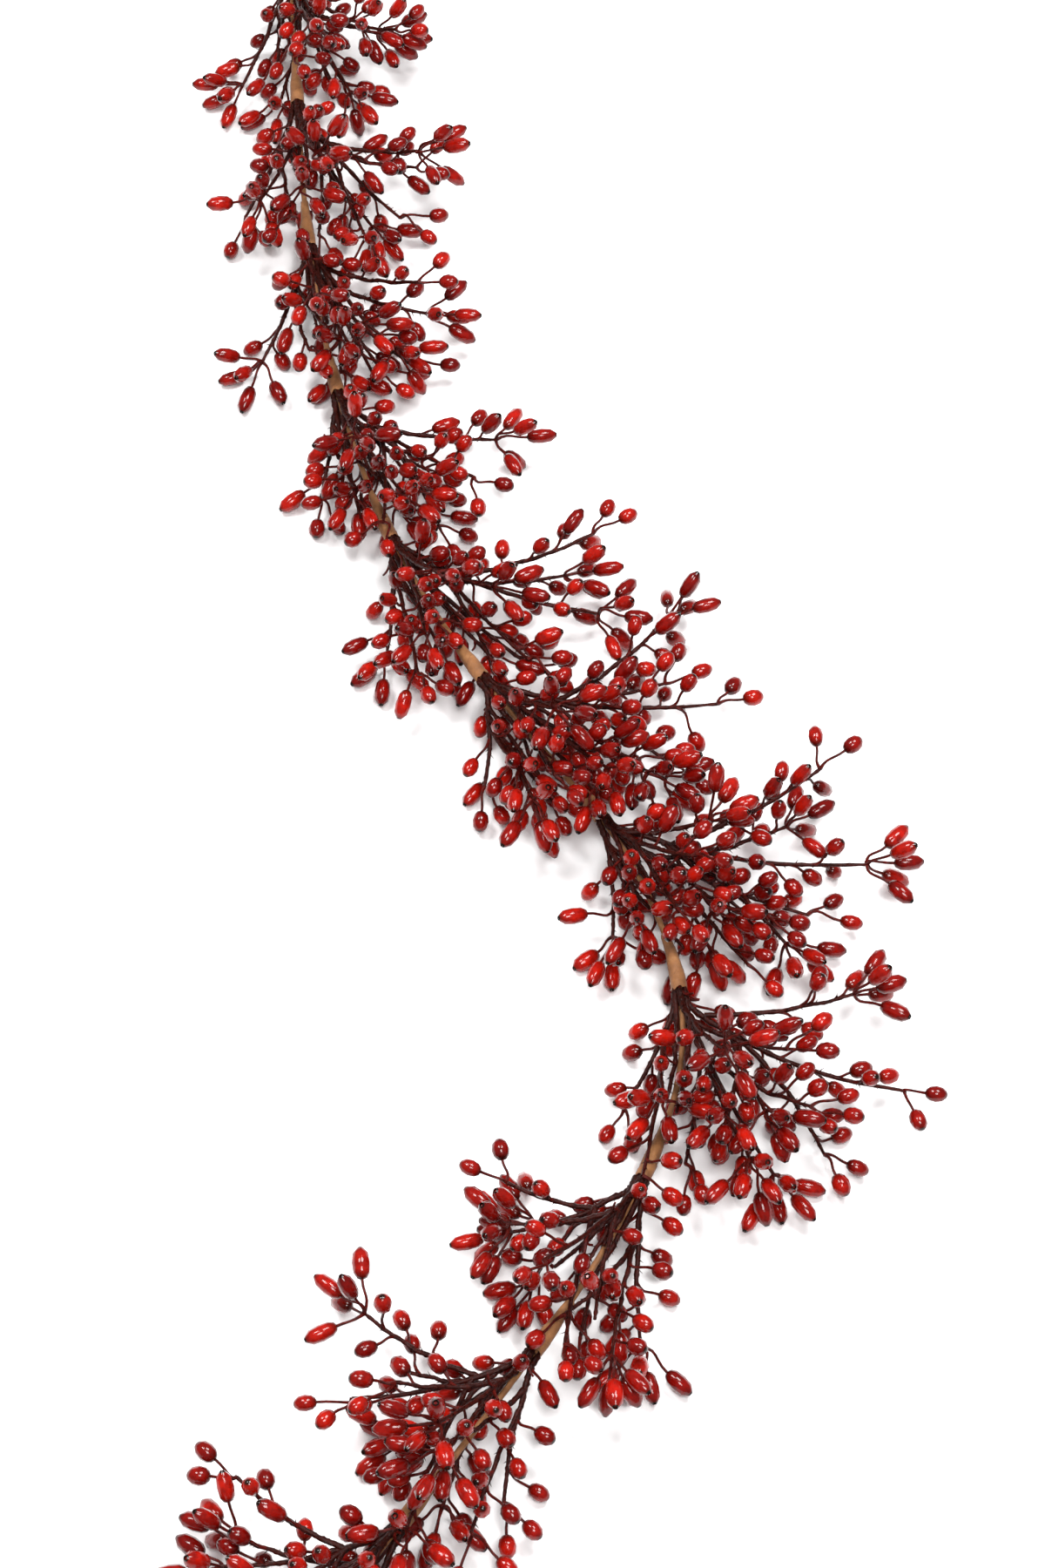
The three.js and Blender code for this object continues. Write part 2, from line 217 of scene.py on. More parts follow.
def heading(s):
    """The wire's heading at distance s along it, in radians."""
    at = min(max(s / BEND_SPACING, 0), len(WIRE_BENDS) - 1 - LAST)
    i = math.floor(at)
    return math.radians(WIRE_BENDS[i] + (WIRE_BENDS[i + 1] - WIRE_BENDS[i]) * (at - i))


def wire_route():
    route = [vector(0, 0, 0)]
    for k in range(WIRE_LENGTH // WIRE_STEP):
        h = heading(k * WIRE_STEP + WIRE_STEP / 2)
        route.append(route[-1] + vector(math.sin(h), -math.cos(h), 0) * WIRE_STEP)
    for i, p in enumerate(route):
        p[2] = WIRE_HEIGHT + WIRE_WAVE * math.sin(2 * math.pi * i * WIRE_STEP / WIRE_WAVE_LENGTH)
    return route


ROUTE = wire_route()


def beside_wire(s, side, rise):
    """The point at distance s along the wire, moved across it to +X by side and up by rise."""
    at = min(max(s / WIRE_STEP, 0), len(ROUTE) - 1 - LAST)
    i = math.floor(at)
    h = heading(s)
    p = ROUTE[i] + (ROUTE[i + 1] - ROUTE[i]) * (at - i)
    return p + vector(side * math.cos(h), side * math.sin(h), rise)


# ---- Clearance: everything placed is kept as a list of capsules ----


class Capsules:
    def __init__(self):
        self.count = 0
        self.a = np.zeros((MOST_CAPSULES, 3))
        self.b = np.zeros((MOST_CAPSULES, 3))
        self.radius = np.zeros(MOST_CAPSULES)
        self.tags = {name: np.full(MOST_CAPSULES, NONE) for name in ("joint", "sprig", "limb")}
        self.is_hip = np.zeros(MOST_CAPSULES, bool)

    def add(self, a, b, radius, is_hip=False, **tags):
        n = self.count
        self.a[n] = a
        self.b[n] = b
        self.radius[n] = radius
        self.is_hip[n] = is_hip
        for name, value in tags.items():
            self.tags[name][n] = value
        self.count = n + 1

    def add_path(self, points, radius, **tags):
        for a, b in zip(points, points[1:]):
            self.add(a, b, radius, **tags)

    def tagged(self, name, value):
        return self.tags[name][: self.count] == value

    def is_clear(self, a, b, radius, ignored):
        room = radius + self.radius[: self.count] + GAP
        return bool(np.all(ignored | (self.distances(a, b) > room)))

    def distances(self, a, b):
        """The distance from segment ab to each capsule's axis."""
        c = self.a[: self.count]
        cd = self.b[: self.count] - c
        ab = b - a
        ca = a - c
        along = ab @ ab
        across = np.einsum("ij,ij->i", cd, cd)
        mixed = cd @ ab
        on_first = ca @ ab
        on_second = np.einsum("ij,ij->i", cd, ca)
        spread = along * across - mixed * mixed
        skew = spread > SMALL
        cross = (mixed * on_second - on_first * across) / np.where(skew, spread, 1)
        s = np.where(skew, np.clip(cross, 0, 1), 0)
        t = (mixed * s + on_second) / across
        s = np.where(t < 0, np.clip(-on_first / along, 0, 1), s)
        s = np.where(t > 1, np.clip((mixed - on_first) / along, 0, 1), s)
        t = np.clip(t, 0, 1)
        between = (a + s[:, None] * ab) - (c + t[:, None] * cd)
        return np.sqrt(np.einsum("ij,ij->i", between, between))


capsules = Capsules()


# ---- Limbs ----


def bezier(a, b, c, steps):
    shares = [i / steps for i in range(1, steps + 1)]
    return [a * (1 - t) * (1 - t) + b * 2 * t * (1 - t) + c * t * t for t in shares]


def reach_out(start, direction, turn, reach, tip_height):
    """A bowed path from start. Most of its turn is made early, and it reaches its height late."""
    early = direction + turn * EARLY_TURN
    late = direction + turn
    bend = vector(math.sin(early), -math.cos(early), 0) * (reach * BOW) + start
    bend[2] = start[2] + (tip_height - start[2]) * EARLY_SAG
    tip = vector(math.sin(late), -math.cos(late), 0) * reach + start
    tip[2] = tip_height
    return bezier(start, bend, tip, LIMB_STEPS)


def path_is_clear(points, ignored):
    pairs = zip(points, points[1:])
    return all(capsules.is_clear(a, b, LIMB_RADIUS, ignored) for a, b in pairs)


def path_point(points, u):
    """The point at share u of a path's steps, and the direction of the path there."""
    at = min(u * (len(points) - 1), len(points) - 1 - LAST)
    i = math.floor(at)
    step = points[i + 1] - points[i]
    return points[i] + step * (at - i), unit(step)


def path_length(points):
    return sum(math.dist(a, b) for a, b in zip(points, points[1:]))


def grow_leader(joint, role, row):
    """A sprig's main twig, from inside its sleeve to its tip, or nothing if there is no room."""
    lean = row["lean"]
    s = joint_at(joint)
    reach = row[role["reach"]] * role["share"]
    roll = math.radians(role["roll"])
    side = BOUND_RING * math.cos(roll) * lean
    rise = BOUND_RING * math.sin(roll)
    bound = [beside_wire(s - BOUND_LENGTH, side, rise), beside_wire(s, side, rise)]
    start = beside_wire(s + RUN_ON, side * RUN_ON_SPREAD, rise * RUN_ON_SPREAD)
    ignored = capsules.tagged("joint", joint)
    for k in range(TRIES):
        stray = draw(-1, 1) * (TURN_SPREAD + TURN_WIDENS * k)
        turn = math.radians(role["turn"] * row["spread"] + stray) * lean
        height = role["tip"] + draw(-TIP_SPREAD, TIP_SPREAD) + TIP_LIFTS * k
        tip = max(height, LIMB_RADIUS + FLOOR_GAP)
        free = reach_out(start, heading(s), turn, reach * draw(*REACH_DRAW), tip)
        if path_is_clear([start, *free], ignored):
            return [*bound, start, *free]
    return None


def grow_fork(sprig, leader, sign, tip_lift):
    """A twig that leaves the leader part of the way along it, or nothing if there is no room."""
    start = path_point(leader, draw(*FORK_START))[0]
    tip = leader[-1]
    direction = math.atan2(tip[0] - start[0], -(tip[1] - start[1]))
    reach = math.dist(start, tip) * FORK_SHARE + FORK_EXTRA
    ignored = capsules.tagged("sprig", sprig)
    for _ in range(TRIES):
        turn = math.radians(sign * (FORK_TURN + draw(-FORK_TURN_SPREAD, FORK_TURN_SPREAD)))
        lifted = start[2] + tip_lift + draw(-FORK_LIFT, FORK_LIFT)
        height = max(lifted, LIMB_RADIUS + FLOOR_GAP)
        path = [start, *reach_out(start, direction, turn, reach * draw(*FORK_REACH_DRAW), height)]
        if path_is_clear(path, ignored):
            return path
    return None


# ---- Places of the hips ----


def lay_hip(base, direction, hip):
    """A hip that would reach below the surface is turned up until it lies on it."""
    start = base.copy()
    start[2] = max(start[2], hip["radius"])
    end = start + direction * hip["length"]
    end[2] = max(end[2], hip["radius"])
    return start, start + unit(end - start) * hip["length"]


def place_hip(sprig, limb, u, origin, direction, stalk, kind):
    """A hip on a stalk from the origin, or nothing if there is no room for them."""
    hip = HIPS[kind]
    base, tip = lay_hip(origin + direction * stalk, direction, hip)
    way = unit(tip - base)
    core_start = base + way * hip["radius"] * HIP_CORE
    core_end = tip - way * hip["radius"] * HIP_CORE
    own_stalks = capsules.tagged("limb", limb) & ~capsules.is_hip[: capsules.count]
    if not capsules.is_clear(origin, base, STALK_RADIUS, own_stalks):
        return None
    if not capsules.is_clear(core_start, core_end, hip["radius"], np.zeros(capsules.count, bool)):
        return None
    capsules.add(origin, base, STALK_RADIUS, sprig=sprig, limb=limb)
    capsules.add(core_start, core_end, hip["radius"], is_hip=True, sprig=sprig, limb=limb)
    return {"kind": kind, "limb": limb % MOST_LIMBS, "u": u, "base": base, "tip": tip}


def leaning(axis, lean, roll):
    """A direction leaning from the axis, at a roll around it."""
    across = unit(vector(-axis[1], axis[0], 0))
    over = np.cross(across, axis)
    aside = across * math.cos(roll) + over * math.sin(roll)
    return axis * math.cos(lean) + aside * math.sin(lean)


def add_shoots(sprig, limb, points, start, hips):
    """Single hips along a limb, each turned around it by the golden angle from the last."""
    count = math.floor(path_length(points) * (1 - start) / SHOOT_SPACING)
    for i in range(count):
        u = start + (1 - start) * (i + 0.5) / count
        origin, axis = path_point(points, u)
        stalk = draw(*SHOOT_STALK)
        lean = math.radians(SHOOT_LEAN + draw(-SHOOT_LEAN_SPREAD, SHOOT_LEAN_SPREAD))
        for k in range(TRIES):
            roll = math.radians(GOLDEN_TURN * (i + k) + draw(-ROLL_SPREAD, ROLL_SPREAD))
            way = leaning(axis, lean, roll)
            hip = place_hip(sprig, limb, u, origin, way, stalk, "oval")
            if hip:
                hips.append(hip)
                break


def add_umbel(sprig, limb, points, kind, count, hips):
    """A bunch of hips at a limb's tip: one in the middle and the others around it."""
    origin, axis = path_point(points, 1)
    for i in range(count):
        stalk = draw(*UMBEL_STALK)
        for k in range(TRIES):
            lean = math.radians(draw(*(MIDDLE_LEAN if i == 0 else OUTER_LEAN)))
            around = 360 * (i + UMBEL_RETRY_STEP * k) / max(count - 1, 1)
            roll = math.radians(around + draw(-UMBEL_ROLL_SPREAD, UMBEL_ROLL_SPREAD))
            hip = place_hip(sprig, limb, 1, origin, leaning(axis, lean, roll), stalk, kind)
            if hip:
                hips.append(hip)
                break


# ---- The plan of the solids ----


def joint_at(j):
    return FIRST_JOINT + JOINT_SPACING * j


def plan_sprig(joint, role, row, sprig):
    leader = grow_leader(joint, role, row)
    if leader is None:
        return None
    limbs = [{"points": leader, "start": SHOOT_START, "grade": "leader"}]
    tags = {"joint": joint, "sprig": sprig, "limb": sprig * MOST_LIMBS}
    capsules.add_path(leader[:2], BOUND_RADIUS, **tags)
    capsules.add_path(leader[1:], LIMB_RADIUS, **tags)
    for f in range(role["forks"]):
        way = 1 if f % 2 == 0 else -1
        fork = grow_fork(sprig, leader, way * row["lean"], way * FORK_LIFT)
        if fork:
            capsules.add_path(fork, LIMB_RADIUS, sprig=sprig, limb=sprig * MOST_LIMBS + len(limbs))
            limbs.append({"points": fork, "start": FORK_SHOOT_START, "grade": "fork"})
    return {"joint": joint, "limbs": limbs, "hips": [], "bare": []}


def grow_sprigs():
    sprigs = []
    for j, row in enumerate(JOINTS):
        for role in ROLES:
            sprig = plan_sprig(j, role, row, len(sprigs))
            if sprig:
                sprigs.append(sprig)
    return sprigs


def dress_limb(n, i, limb, hips):
    """Limbs take turns to end in an umbel of long hips or a spray of oval ones."""
    umbel = (n // len(ROLES) + n + i) % 2 == 0
    kind, count = ("long", UMBEL_COUNT) if umbel else ("oval", SPRAY_COUNT)
    add_umbel(n, n * MOST_LIMBS + i, limb["points"], kind, count, hips)
    add_shoots(n, n * MOST_LIMBS + i, limb["points"], limb["start"], hips)


def plan_solids():
    capsules.add_path(ROUTE, WIRE_RADIUS)
    for j in range(len(JOINTS)):
        along = (SLEEVE_LENGTH, SLEEVE_LENGTH / 2, 0)
        axis = [beside_wire(joint_at(j) - back, 0, 0) for back in along]
        capsules.add_path(axis, SLEEVE_MOUTH + SLEEVE_WALL, joint=j)
    sprigs = grow_sprigs()
    for n, sprig in enumerate(sprigs):
        for i, limb in enumerate(sprig["limbs"]):
            dress_limb(n, i, limb, sprig["hips"])
    return sprigs


# ---- The finer growth ----


def grow_runner(n, sprig, least_turn):
    """A slender twig that leaves a sprig near its foot and follows the wire."""
    leader = sprig["limbs"][0]["points"]
    start = path_point(leader, draw(*RUNNER_STARTS))[0]
    direction = heading(joint_at(sprig["joint"]) + RUN_ON)
    ignored = capsules.tagged("sprig", n)
    for k in range(TRIES):
        turn = math.radians(least_turn + RUNNER_WIDENS * k * draw(-1, 1))
        height = max(start[2] + draw(*RUNNER_LIFT), LIMB_RADIUS + FLOOR_GAP)
        path = [start, *reach_out(start, direction, turn, draw(*RUNNER_REACH), height)]
        if path_is_clear(path, ignored):
            limb = n * MOST_LIMBS + len(sprig["limbs"])
            capsules.add_path(path, LIMB_RADIUS, sprig=n, limb=limb)
            sprig["limbs"].append(
                {"points": path, "start": RUNNER_SHOOT_START, "grade": "runner"}
            )
            return


def fill_limb(n, i, limb, sprig):
    """Shoots all along a limb, wherever there is room. Some that find no room stay bare."""
    points = limb["points"]
    start = FILL_START if limb["grade"] == "leader" else limb["start"] * FILL_EARLIER
    count = math.floor(path_length(points) * (1 - start) / JOINTS[sprig["joint"]]["apart"])
    for c in range(count):
        u = start + (1 - start - FILL_TIP_MARGIN) * (c + draw(*FILL_STRAY)) / count
        origin, axis = path_point(points, u)
        kind = "long" if draw(0, 1) < FILL_LONG_SHARE else "oval"
        placed = None
        for k in range(FILL_TRIES):
            lean = math.radians(draw(*FILL_LEAN))
            roll = math.radians(GOLDEN_TURN * (c + k) + draw(-ROLL_SPREAD, ROLL_SPREAD))
            way = leaning(axis, lean, roll)
            limb_tag = n * MOST_LIMBS + i
            placed = place_hip(n, limb_tag, u, origin, way, draw(*FILL_STALK), kind)
            if placed:
                sprig["hips"].append(placed)
                break
        if not placed and draw(0, 1) < BARE_SHARE:
            sprig["bare"].append({"limb": i, "u": u, "way": way, "length": draw(*FILL_STALK)})


def lay_stem(n, sprig, first_roll):
    """A bare stem that lies beside the wire from its joint on, if there is room."""
    s = joint_at(sprig["joint"])
    length = draw(*LAID_LENGTH)
    ignored = np.zeros(capsules.count, bool)
    for k in range(TRIES):
        roll = math.radians(first_roll + k * draw(-ROLL_SPREAD, ROLL_SPREAD))
        side = LAID_RING * math.cos(roll)
        rise = LAID_RING * math.sin(roll)
        reach = length * (1 - LAID_SHORTENS * k)
        places = [LAID_START + reach * i / LIMB_STEPS for i in range(LIMB_STEPS + 1)]
        path = [beside_wire(s + place, side, rise) for place in places]
        if path_is_clear(path, ignored):
            capsules.add_path(path, LIMB_RADIUS, sprig=n)
            near = (side * LAID_FOOT_SHARE, rise * LAID_FOOT_SHARE)
            foot = [beside_wire(s - BOUND_LENGTH, *near), beside_wire(s, *near)]
            sprig["limbs"].append({"points": [*foot, *path], "grade": "laid"})
            return


def grow_finer(sprigs):
    for i, turn in enumerate(RUNNER_TURNS):
        for n, sprig in enumerate(sprigs):
            if i < JOINTS[sprig["joint"]]["runners"]:
                grow_runner(n, sprig, turn)
    for n, sprig in enumerate(sprigs):
        for i, limb in enumerate(sprig["limbs"]):
            if limb["grade"] == "runner":
                dress_limb(n, i, limb, sprig["hips"])
            fill_limb(n, i, limb, sprig)
    for n, sprig in enumerate(sprigs):
        lay_stem(n, sprig, LAID_ROLLS[n % len(ROLES)])


SPRIGS = plan_solids()


# ---- From the plan's axes to the frame's ----


def plan_offset():
    """How far the frame's middle lies from the plan's, in the plan's units."""
    low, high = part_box("main_stem")
    route = np.array(ROUTE)
    plan_middle = (route.min(0) + route.max(0)) / 2
    frame_middle = np.array((low + high) / 2) / MM
    return frame_middle - plan_middle


OFFSET = plan_offset()
grow_finer(SPRIGS)


# ---- Mesh making ----

# A path steeper than this takes its cross directions from +X instead of +Z.
NEAR_UPRIGHT = 0.9

rng = np.random.default_rng(FIRST_SEED)


class Skin:
    """The growing mesh of one piece: points, faces, and named values at each point."""

    def __init__(self, *value_names):
        self.points = []
        self.faces = []
        self.size = 0
        self.values = {name: [] for name in value_names}

    def add(self, points, faces, **values):
        self.points.append(np.asarray(points, float))
        self.faces.extend([tuple(i + self.size for i in face) for face in faces])
        for name, kept in self.values.items():
            kept.append(np.broadcast_to(np.asarray(values[name], float), len(points)))
        self.size += len(points)

    def make(self, name):
        mesh = bpy.data.meshes.new(name)
        points = (np.concatenate(self.points) + OFFSET) * MM
        mesh.from_pydata(points.tolist(), [], self.faces)
        for value_name, kept in self.values.items():
            attribute = mesh.attributes.new(value_name, "FLOAT", "POINT")
            attribute.data.foreach_set("value", np.concatenate(kept).astype(np.float32))
        piece = bpy.data.objects.new(name, mesh)
        bpy.context.scene.collection.objects.link(piece)
        return piece


def smooth_path(points, steps):
    """A smooth curve through the points, with that many steps from each to the next."""
    p = np.array([2 * points[0] - points[1], *points, 2 * points[-1] - points[-2]])
    curve = []
    for i in range(1, len(p) - 2):
        for k in range(steps):
            t = k / steps
            a, b, c, d = p[i - 1 : i + 3]
            bend = (2 * a - 5 * b + 4 * c - d) * t * t + (3 * b - a - 3 * c + d) * t**3
            curve.append(0.5 * (2 * b + (c - a) * t + bend))
    curve.append(p[-2])
    return np.array(curve)


def frames_along(path):
    """Two cross directions at each point of a path, turning as little as they can."""
    tangents = np.gradient(path, axis=0)
    tangents /= np.linalg.norm(tangents, axis=1)[:, None]
    helper = vector(0, 0, 1) if abs(tangents[0][2]) < NEAR_UPRIGHT else vector(1, 0, 0)
    across = [unit(np.cross(helper, tangents[0]))]
    for t in tangents[1:]:
        across.append(unit(across[-1] - t * (across[-1] @ t)))
    across = np.array(across)
    return across, np.cross(tangents, across)


def tube(path, radii, sides, twist=0.0):
    """A closed tube around a path. The radii are one for each ring, or one for each point."""
    across, over = frames_along(path)
    angles = 2 * math.pi * np.arange(sides) / sides
    angles = angles[None, :] + twist * np.arange(len(path))[:, None]
    radii = np.broadcast_to(np.asarray(radii, float).reshape(len(path), -1), angles.shape)
    rings = (
        path[:, None, :]
        + across[:, None, :] * (np.cos(angles) * radii)[..., None]
        + over[:, None, :] * (np.sin(angles) * radii)[..., None]
    )
    faces = [tuple(reversed(range(sides)))]
    for r in range(len(path) - 1):
        for k in range(sides):
            a = r * sides + k
            b = r * sides + (k + 1) % sides
            faces.append((a, b, b + sides, a + sides))
    last = (len(path) - 1) * sides
    faces.append(tuple(range(last, last + sides)))
    return rings.reshape(-1, 3), faces


# ---- The hips, each kind modelled once ----

HIP_SIDES = 8
# Places up the hip and its width there, as shares of its length and radius.
OVAL_PROFILE = [
    (0.00, 0.19), (0.05, 0.54), (0.21, 0.90), (0.48, 1.06), (0.76, 0.90), (0.94, 0.46), (0.985, 0.15),
]
LONG_PROFILE = [
    (0.00, 0.20), (0.05, 0.56), (0.20, 0.90), (0.50, 1.02), (0.80, 0.88), (0.96, 0.40), (1.00, 0.26),
]
# Where the dark crown begins, as a share of the length.
OVAL_CROWN = 0.975
LONG_CROWN = 0.96
CROWN_RIM = 0.6
CROWN_DEPTH = 0.07
SIZE_SPREAD = 0.07
# The direction that a hip's cross directions are taken from.
HIP_HELPER = vector(0.3, 0.2, 1)


def start_edit():
    bpy.ops.object.mode_set(mode="EDIT")


def leave_edit():
    bpy.ops.object.mode_set(mode="OBJECT")


def crown_share(height, crown_start):
    """0 at the hip's base, 0.5 where its crown begins, and 1 at its tip."""
    below = 0.5 * height / crown_start
    above = 0.5 + 0.5 * (height - crown_start) / (1 - crown_start)
    return np.clip(np.where(height < crown_start, below, above), 0, 1)


def model_hip(name, hip, profile, crown_start, hollow_crown):
    """One hip standing on the origin: a small disc drawn up into rings, its crown pushed in."""
    bpy.ops.object.select_all(action="DESELECT")
    bpy.ops.mesh.primitive_circle_add(
        vertices=HIP_SIDES, radius=hip["radius"] * profile[0][1], fill_type="NGON", location=(0, 0, 0)
    )
    master = bpy.context.object
    master.name = name
    start_edit()
    bpy.ops.mesh.select_all(action="SELECT")
    for (low, narrow), (high, wide) in zip(profile, profile[1:]):
        rise = (high - low) * hip["length"]
        bpy.ops.mesh.extrude_region_move(TRANSFORM_OT_translate={"value": (0, 0, rise)})
        bpy.ops.transform.resize(value=(wide / narrow, wide / narrow, 1))
    if hollow_crown:
        bpy.ops.mesh.extrude_region_move(TRANSFORM_OT_translate={"value": (0, 0, 0)})
        bpy.ops.transform.resize(value=(CROWN_RIM, CROWN_RIM, 1))
        bpy.ops.transform.translate(value=(0, 0, -CROWN_DEPTH * hip["length"]))
    bpy.ops.mesh.select_all(action="SELECT")
    bpy.ops.mesh.normals_make_consistent(inside=False)
    leave_edit()
    points = np.array([v.co for v in master.data.vertices])
    faces = [tuple(p.vertices) for p in master.data.polygons]
    bpy.data.objects.remove(master)
    along = crown_share(points[:, 2] / hip["length"], crown_start)
    return {"points": points, "faces": faces, "along": along}


MASTERS = {
    "oval": model_hip("oval_hip", OVAL, OVAL_PROFILE, OVAL_CROWN, False),
    "long": model_hip("long_hip", LONG, LONG_PROFILE, LONG_CROWN, True),
}


def add_hip(skin, hip):
    """A copy of the hip's master, turned about its axis and a little larger or smaller."""
    master = MASTERS[hip["kind"]]
    way = unit(hip["tip"] - hip["base"])
    across = unit(np.cross(way, HIP_HELPER))
    over = np.cross(way, across)
    turn = rng.uniform(0, 2 * math.pi)
    first = across * math.cos(turn) + over * math.sin(turn)
    second = np.cross(way, first)
    width = 1 + rng.uniform(-SIZE_SPREAD, SIZE_SPREAD)
    height = 1 + rng.uniform(-SIZE_SPREAD, SIZE_SPREAD / 2)
    x, y, z = master["points"].T
    points = (
        hip["base"]
        + np.outer(x * width, first)
        + np.outer(y * width, second)
        + np.outer(z * height, way)
    )
    skin.add(points, master["faces"], along=master["along"], tone=rng.uniform(0, 1))


# ---- Twigs ----

TWIG_SIDES = 7
# For each grade of limb: steps between its planned points, and the radius at its foot.
TWIG_STEPS = {"leader": 11, "fork": 11, "runner": 8, "laid": 6}
TWIG_BASE = {"leader": 2.1, "fork": 1.6, "runner": 1.45, "laid": 1.8}
TWIG_TIP = 0.95
BARK_ROUGH = 0.15
BARK_KNOTS = 0.22
KNOT_LENGTH = 9.0
KNOT_SHARPNESS = 4
TWIG_WAVER = 0.45
TWIG_WAVES = (2.2, 4.2)
STALK_SIDES = 5
STALK_STEPS = 6
STALK_BEND = 0.5
STALK_GIRTH = 0.78
STALK_FOOT = 0.6
STALK_FOOT_FADE = 5
STALK_NECK = 0.86
STALK_NECK_FADE = 4
STALK_TWIST = 0.2
STALK_STRAY = 0.25
# How far a stalk's end runs into its hip.
STALK_SINK = 0.4
# How strongly a stalk leaves along its twig: as a side shoot, in an umbel, and with no hip.
SHOOT_FOLLOWS = (0.5, 1.6)
UMBEL_FOLLOWS = 0.3
BARE_FOLLOWS = 0.6
# How strongly an umbel's stalks arch outwards, and a stalk with no hip curls back.
UMBEL_ARCH = 1.8
BARE_CURL = 0.5
THORN_SPACING = 5.5
THORN_PLACES = (0.3, 0.97)
THORN_LENGTH = (1.4, 3.0)
THORN_FOOT = 0.5
THORN_SINK = 0.6
THORN_SWEEP = 0.7
# The thickness that colours a thorn and a stalk, as a share of the thickest twig's.
THORN_THICK = 0.8
STALK_THICK = 0.25


def limb_curve(limb):
    """The limb's smooth axis, wavering a little between its two ends."""
    curve = smooth_path(limb["points"], TWIG_STEPS[limb["grade"]])
    share = np.linspace(0, 1, len(curve))
    calm = np.sin(math.pi * share) * TWIG_WAVER
    for axis in range(3):
        wave = rng.uniform(*TWIG_WAVES)
        phase = rng.uniform(0, 2 * math.pi)
        curve[:, axis] += calm * np.sin(2 * math.pi * wave * share + phase)
    return curve


def curve_point(curve, u):
    at = min(u * (len(curve) - 1), len(curve) - 1 - LAST)
    i = math.floor(at)
    step = curve[i + 1] - curve[i]
    return curve[i] + step * (at - i), unit(step)


def limb_radii(limb, count):
    """The radii along a limb. One that is bound in a sleeve is slim as far as its mouth."""
    share = np.linspace(0, 1, count)
    radii = TWIG_BASE[limb["grade"]] + (TWIG_TIP - TWIG_BASE[limb["grade"]]) * share
    if limb["grade"] in ("leader", "laid"):
        bound = 1 / (len(limb["points"]) - 1)
        radii = np.where(share < bound, BOUND_RADIUS, radii)
    return radii


def add_limb(skin, limb, curve):
    radii = limb_radii(limb, len(curve))
    travel = np.concatenate([[0], np.cumsum(np.linalg.norm(np.diff(curve, axis=0), axis=1))])
    swelling = np.maximum(0, np.sin(2 * math.pi * travel / KNOT_LENGTH)) ** KNOT_SHARPNESS
    knots = 1 + BARK_KNOTS * swelling
    rough = 1 + rng.uniform(-BARK_ROUGH, BARK_ROUGH, (len(curve), TWIG_SIDES))
    points, faces = tube(curve, (radii * knots)[:, None] * rough, TWIG_SIDES)
    skin.add(points, faces, thick=np.repeat(radii / TWIG_BASE["leader"], TWIG_SIDES))
    add_thorns(skin, curve, radii, travel[-1])


def add_thorns(skin, curve, radii, length):
    """Small four-sided spikes that lean towards the limb's tip."""
    for _ in range(round(length / THORN_SPACING)):
        u = rng.uniform(*THORN_PLACES)
        origin, axis = curve_point(curve, u)
        out = unit(np.cross(axis, unit(rng.normal(size=3))))
        radius = radii[int(u * (len(radii) - 1))]
        foot = origin + out * radius * THORN_SINK
        tip = foot + (out + axis * THORN_SWEEP) * rng.uniform(*THORN_LENGTH)
        across = np.cross(axis, out)
        ring = [foot + axis * THORN_FOOT, foot + across * THORN_FOOT]
        ring += [foot - axis * THORN_FOOT, foot - across * THORN_FOOT]
        faces = [(3, 2, 1, 0), (0, 1, 4), (1, 2, 4), (2, 3, 4), (3, 0, 4)]
        skin.add([*ring, tip], faces, thick=THORN_THICK)


def stalk_path(start, leaving, end, arriving):
    """A curve that leaves the start in one direction and arrives at the end in another."""
    reach = math.dist(start, end) * STALK_BEND
    a = start
    b = start + leaving * reach
    c = end - arriving * reach
    t = np.linspace(0, 1, STALK_STEPS + 1)[:, None]
    return a * (1 - t) ** 3 + b * 3 * t * (1 - t) ** 2 + c * 3 * t * t * (1 - t) + end * t**3


def add_stalk(skin, path, end_radius):
    """A stalk that is thicker at its foot and ends with the given radius."""
    share = np.linspace(0, 1, len(path))
    radii = STALK_GIRTH * (1 + STALK_FOOT * (1 - share) ** STALK_FOOT_FADE)
    radii = radii + (end_radius - STALK_GIRTH) * share**STALK_NECK_FADE
    points, faces = tube(path, radii, STALK_SIDES, STALK_TWIST)
    skin.add(points, faces, thick=STALK_THICK)


def hip_stalk(curve, hip):
    """Side stalks leave along the twig and bend away. Those at its end arch out, then forward."""
    origin, axis = curve_point(curve, hip["u"])
    way = unit(hip["tip"] - hip["base"])
    to_base = unit(hip["base"] - origin)
    if hip["u"] < 1:
        leaving = to_base + axis * rng.uniform(*SHOOT_FOLLOWS)
    else:
        leaving = (to_base - axis * to_base.dot(axis)) * UMBEL_ARCH + axis * UMBEL_FOLLOWS
    leaving = unit(leaving + rng.normal(size=3) * STALK_STRAY)
    return stalk_path(origin, leaving, hip["base"] + way * STALK_SINK, way)


def bare_stalk(curve, bare):
    """A stalk with no hip, curling a little towards the limb's foot."""
    origin, axis = curve_point(curve, bare["u"])
    end = origin + bare["way"] * bare["length"]
    end[2] = max(end[2], STALK_RADIUS)
    leaving = unit(bare["way"] + axis * BARE_FOLLOWS)
    arriving = unit(bare["way"] - axis * BARE_CURL)
    return stalk_path(origin, leaving, end, arriving)


# ---- Finishing a piece ----

SMOOTH_ANGLE = 62
FLOOR_TOUCH = 0.02


def keep_above_floor(mesh):
    points = np.zeros(len(mesh.vertices) * 3, np.float32)
    mesh.vertices.foreach_get("co", points)
    points = points.reshape(-1, 3)
    points[:, 2] = np.maximum(points[:, 2], FLOOR_TOUCH * MM)
    mesh.vertices.foreach_set("co", points.ravel())


